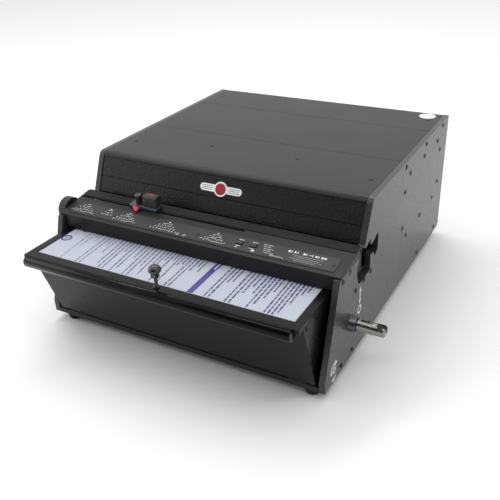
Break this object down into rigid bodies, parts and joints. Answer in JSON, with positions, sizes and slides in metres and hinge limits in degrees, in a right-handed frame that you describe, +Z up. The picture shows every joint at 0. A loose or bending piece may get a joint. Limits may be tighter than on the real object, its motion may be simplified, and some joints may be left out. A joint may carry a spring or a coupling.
{
  "type": "electric binding punch",
  "caption": "Electric sheet punch for book binding, with a drop-in throat, a slide-out die, a side guide, a sloped control deck and a front chip drawer.",
  "frame": {"origin": "centre of the bounding box's floor, under the feet", "axes": "+X to the operator's right, along the sheet edge; +Y to the rear of the machine; +Z up"},
  "size_m": [0.479, 0.545, 0.2085],
  "materials": {
    "plate_black": "satin black enamel",
    "cover_black": "fine textured black powder coat",
    "face_black": "wrinkled black enamel",
    "deck_black": "fine textured black powder coat",
    "overlay_film": "dark printed film",
    "strip_black": "matt black enamel",
    "drawer_black": "smooth satin black",
    "lip_black": "gloss black",
    "knob_black": "gloss black",
    "plastic_black": "moulded black",
    "key_black": "smooth black",
    "rubber_black": "black rubber",
    "zinc_steel": "zinc plated",
    "tool_steel": "ground steel",
    "dark_steel": "blackened steel",
    "shaft_steel": "turned bright steel",
    "screw_steel": "blackened screws",
    "cast_grey": "machined casting",
    "alloy_grey": "die cast",
    "bronze": "sintered bronze",
    "board_green": "circuit board",
    "winding": "varnished windings",
    "card_white": "printed card",
    "sticker_cream": "paper label",
    "badge_white": "plain badge",
    "guide_grey": "dark moulded plastic",
    "guide_blue": "bluish grey paint",
    "pointer_red": "red plastic",
    "runner_white": "low friction plastic"
  },
  "bodies": {
    "chassis": {"base_pan": "cover_black", "left_side_plate": "plate_black", "right_side_plate": "plate_black", "top_cover_front": "cover_black", "top_cover_middle": "cover_black", "top_cover_rear": "cover_black", "face_panel_upper": "face_black", "face_panel_lower": "face_black", "deck_cover": "deck_black", "control_overlay": "overlay_film", "deck_rear_strip": "strip_black", "rear_panel": "cover_black", "feet": "rubber_black", "tie_bars": "zinc_steel", "side_screws": "screw_steel", "cover_screws": "screw_steel", "badge": "badge_white", "round_sticker": "sticker_cream", "die_bed": "cast_grey", "chip_chute": "zinc_steel", "drawer_runners": "runner_white", "bearing_plates": "cast_grey", "shaft_bearings": "tool_steel", "press_guides": "bronze", "clamp_bushing": "dark_steel", "motor": "cast_grey", "gearbox": "alloy_grey", "control_board": "board_green", "transformer": "winding", "power_inlet": "plastic_black", "fuse_holder": "plastic_black", "pedal_socket": "zinc_steel"},
    "drawer": {"drawer_body": "drawer_black", "drawer_lid": "drawer_black", "instruction_card": "card_white", "drawer_lip": "lip_black", "drawer_knob": "knob_black"},
    "die": {"die_base": "tool_steel", "die_plate": "tool_steel", "die_guide_plate": "tool_steel"},
    "pin_set": {"pin_bar": "dark_steel", "punch_pins": "tool_steel"},
    "press": {"press_bar": "cast_grey"},
    "drive_shaft": {"main_shaft": "shaft_steel", "eccentrics": "tool_steel", "main_gear": "tool_steel"},
    "links": {"connecting_links": "dark_steel"},
    "pinion": {"drive_pinion": "tool_steel"},
    "die_clamp": {"clamp_shaft": "shaft_steel", "clamp_arms": "dark_steel"},
    "guide_drive": {"guide_knob": "plastic_black", "lead_screw": "zinc_steel"},
    "side_guide": {"guide_carriage": "guide_blue", "guide_block": "guide_grey", "guide_pointer": "pointer_red"},
    "guide_lock": {"guide_thumb_screw": "dark_steel"},
    "punch_key": {"punch_button": "key_black"},
    "reverse_key": {"reverse_button": "key_black"},
    "rocker": {"power_rocker": "key_black"}
  },
  "joints": [
    {"name": "drawer_slide", "type": "slide", "parent": "chassis", "child": "drawer", "axis": [0, -1, 0], "range_m": [0, 0.16]},
    {"name": "die_slide", "type": "slide", "parent": "chassis", "child": "die", "axis": [1, 0, 0], "range_m": [0, 0.41]},
    {"name": "press_slide", "type": "slide", "parent": "chassis", "child": "press", "axis": [0, -1, 0], "range_m": [0, 0.012]},
    {"name": "pin_slide", "type": "slide", "parent": "die", "child": "pin_set", "axis": [0, -1, 0], "range_m": [0, 0.012]},
    {"name": "main_shaft_spin", "type": "hinge", "parent": "chassis", "child": "drive_shaft", "pos_m": [-0.015, -0.0045, 0.141], "axis": [1, 0, 0], "continuous": true},
    {"name": "link_swing", "type": "hinge", "parent": "drive_shaft", "child": "links", "pos_m": [-0.015, 0.0015, 0.141], "axis": [1, 0, 0], "continuous": true},
    {"name": "pinion_spin", "type": "hinge", "parent": "chassis", "child": "pinion", "pos_m": [-0.015, -0.0045, 0.07825], "axis": [1, 0, 0], "continuous": true},
    {"name": "clamp_turn", "type": "hinge", "parent": "chassis", "child": "die_clamp", "pos_m": [-0.015, -0.1415, 0.067], "axis": [1, 0, 0], "range_deg": [-50, 0]},
    {"name": "guide_knob_turn", "type": "hinge", "parent": "chassis", "child": "guide_drive", "pos_m": [-0.015, -0.1515, 0.144], "axis": [1, 0, 0], "range_deg": [-1530, 2349]},
    {"name": "guide_slide", "type": "slide", "parent": "chassis", "child": "side_guide", "axis": [1, 0, 0], "range_m": [-0.085, 0.1305]},
    {"name": "guide_lock_turn", "type": "hinge", "parent": "side_guide", "child": "guide_lock", "pos_m": [-0.122, -0.1285, 0.15819], "axis": [0, -0.1547, 0.988], "range_deg": [0, 180]},
    {"name": "punch_key_press", "type": "slide", "parent": "chassis", "child": "punch_key", "axis": [0, 0.1547, -0.988], "range_m": [0, 0.001], "stiffness_N_per_m": 300},
    {"name": "reverse_key_press", "type": "slide", "parent": "chassis", "child": "reverse_key", "axis": [0, 0.1547, -0.988], "range_m": [0, 0.001], "stiffness_N_per_m": 300},
    {"name": "rocker_tilt", "type": "hinge", "parent": "chassis", "child": "rocker", "pos_m": [0.095, 0.2595, 0.063], "axis": [1, 0, 0], "range_deg": [-12, 12]}
  ],
  "couplings": [
    {"joint": "pin_slide", "follows": "press_slide", "ratio": 1},
    {"joint": "link_swing", "follows": "main_shaft_spin", "ratio": -1},
    {"joint": "pinion_spin", "follows": "main_shaft_spin", "ratio": -2.5714},
    {"joint": "guide_knob_turn", "follows": "guide_slide", "rad_per_m": 314.16}
  ]
}
